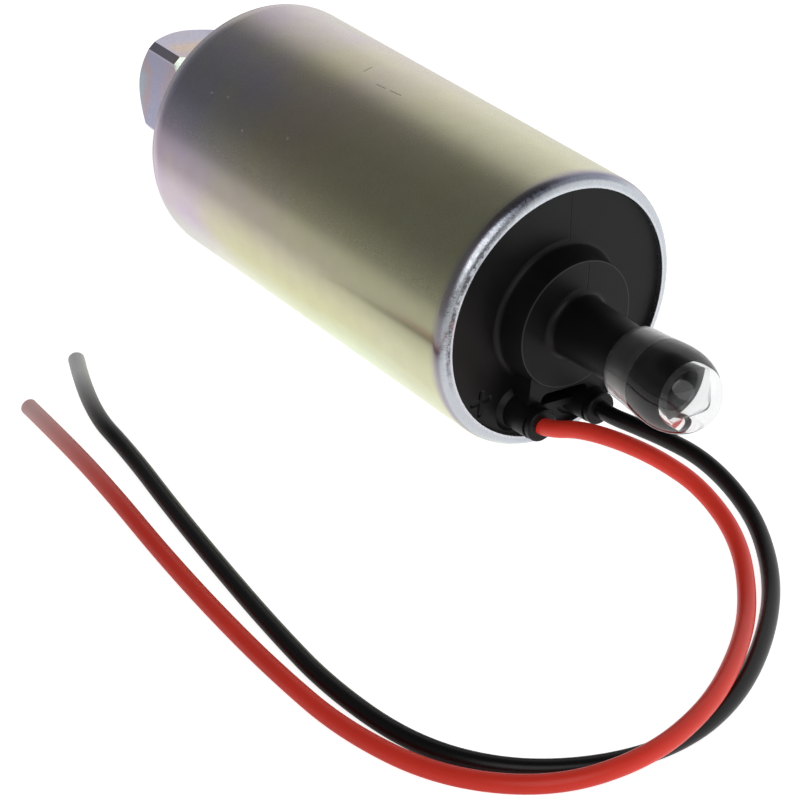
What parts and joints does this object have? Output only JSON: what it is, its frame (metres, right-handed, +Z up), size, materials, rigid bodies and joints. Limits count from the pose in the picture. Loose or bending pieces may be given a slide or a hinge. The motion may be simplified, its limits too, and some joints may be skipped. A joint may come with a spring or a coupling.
{
  "type": "electric fuel pump",
  "caption": "In-line electric fuel pump: plated steel can, moulded end cap with a barbed hose outlet under a clear cap, square threaded inlet and loose lead wires.",
  "frame": {"origin": "middle of the can's length, on its axis", "axes": "+X along the can towards the hose outlet, +Z up as the pump lies on its side, floor at z = -24 mm"},
  "size_m": [0.1913, 0.099, 0.048],
  "materials": {
    "can_plating": "yellow zinc plating, satin with a faint iridescence",
    "fitting_plating": "yellow zinc plating, satin, lavender and straw",
    "cap_moulding": "black glass-filled moulding, satin",
    "clear_vinyl": "clear glossy vinyl",
    "red_insulation": "glossy red insulation",
    "black_insulation": "glossy black insulation",
    "board_laminate": "green laminate",
    "screw_steel": "bright zinc",
    "component_moulding": "black component moulding",
    "capacitor_coat": "dipped coating",
    "resistor_coat": "tan lacquer",
    "pole_iron": "bare soft iron",
    "bobbin_nylon": "natural nylon",
    "copper_winding": "enamelled copper wire",
    "wrap_tape": "amber polyester tape",
    "tinned_pin": "tinned brass",
    "barrel_brass": "drawn brass, honed bore",
    "seal_rubber": "black nitrile rubber",
    "stop_moulding": "natural acetal",
    "plunger_steel": "ground steel",
    "valve_acetal": "natural acetal",
    "retainer_steel": "stamped stainless steel",
    "spring_wire": "spring steel",
    "valve_brass": "turned brass",
    "gasket_fibre": "red fibre-filled rubber",
    "spacer_alloy": "turned alloy",
    "strainer_moulding": "white acetal",
    "strainer_gauze": "woven stainless gauze"
  },
  "bodies": {
    "pump": {"can": "can_plating", "end_cap": "cap_moulding", "end_cap_seal": "seal_rubber", "wire_red": "red_insulation", "wire_black": "black_insulation", "lead_tail_red": "red_insulation", "lead_tail_black": "black_insulation", "circuit_board": "board_laminate", "board_screws": "screw_steel", "drive_transistor": "component_moulding", "film_capacitor": "capacitor_coat", "suppression_diode": "component_moulding", "bias_resistor": "resistor_coat", "front_pole_plate": "pole_iron", "rear_pole_plate": "pole_iron", "bobbin": "bobbin_nylon", "coil_winding": "copper_winding", "coil_wrap": "wrap_tape", "coil_terminals": "tinned_pin", "barrel_tube": "barrel_brass", "barrel_seal_front": "seal_rubber", "barrel_seal_rear": "seal_rubber", "stop_sleeve": "stop_moulding", "plunger_bumper": "seal_rubber", "inlet_valve_seat": "valve_brass", "inlet_valve_cage": "valve_brass", "inlet_valve_spring": "spring_wire", "plunger_spring": "spring_wire", "inlet_fitting": "fitting_plating", "inlet_gasket": "gasket_fibre", "rear_spacer": "spacer_alloy", "front_spacer": "spacer_alloy", "strainer_frame": "strainer_moulding", "strainer_mesh": "strainer_gauze"},
    "plunger": {"plunger": "plunger_steel", "transfer_valve_retainer": "retainer_steel", "transfer_valve_spring": "spring_wire"},
    "transfer_valve": {"transfer_valve_poppet": "valve_acetal"},
    "inlet_valve": {"inlet_valve_poppet": "valve_acetal"},
    "cover": {"outlet_cap": "clear_vinyl"}
  },
  "joints": [
    {"name": "plunger_stroke", "type": "slide", "parent": "pump", "child": "plunger", "axis": [-1, 0, 0], "range_m": [0, 0.007], "stiffness_N_per_m": 400, "springref_m": -0.01, "deforming": ["plunger_spring"]},
    {"name": "transfer_valve_lift", "type": "slide", "parent": "plunger", "child": "transfer_valve", "axis": [1, 0, 0], "range_m": [0, 0.0015], "stiffness_N_per_m": 30, "springref_m": -0.002, "deforming": ["transfer_valve_spring"]},
    {"name": "inlet_valve_lift", "type": "slide", "parent": "pump", "child": "inlet_valve", "axis": [1, 0, 0], "range_m": [0, 0.0015], "stiffness_N_per_m": 30, "springref_m": -0.002, "deforming": ["inlet_valve_spring"]},
    {"name": "outlet_cap_pull", "type": "slide", "parent": "pump", "child": "cover", "axis": [1, 0, 0], "range_m": [0, 0.016]}
  ]
}
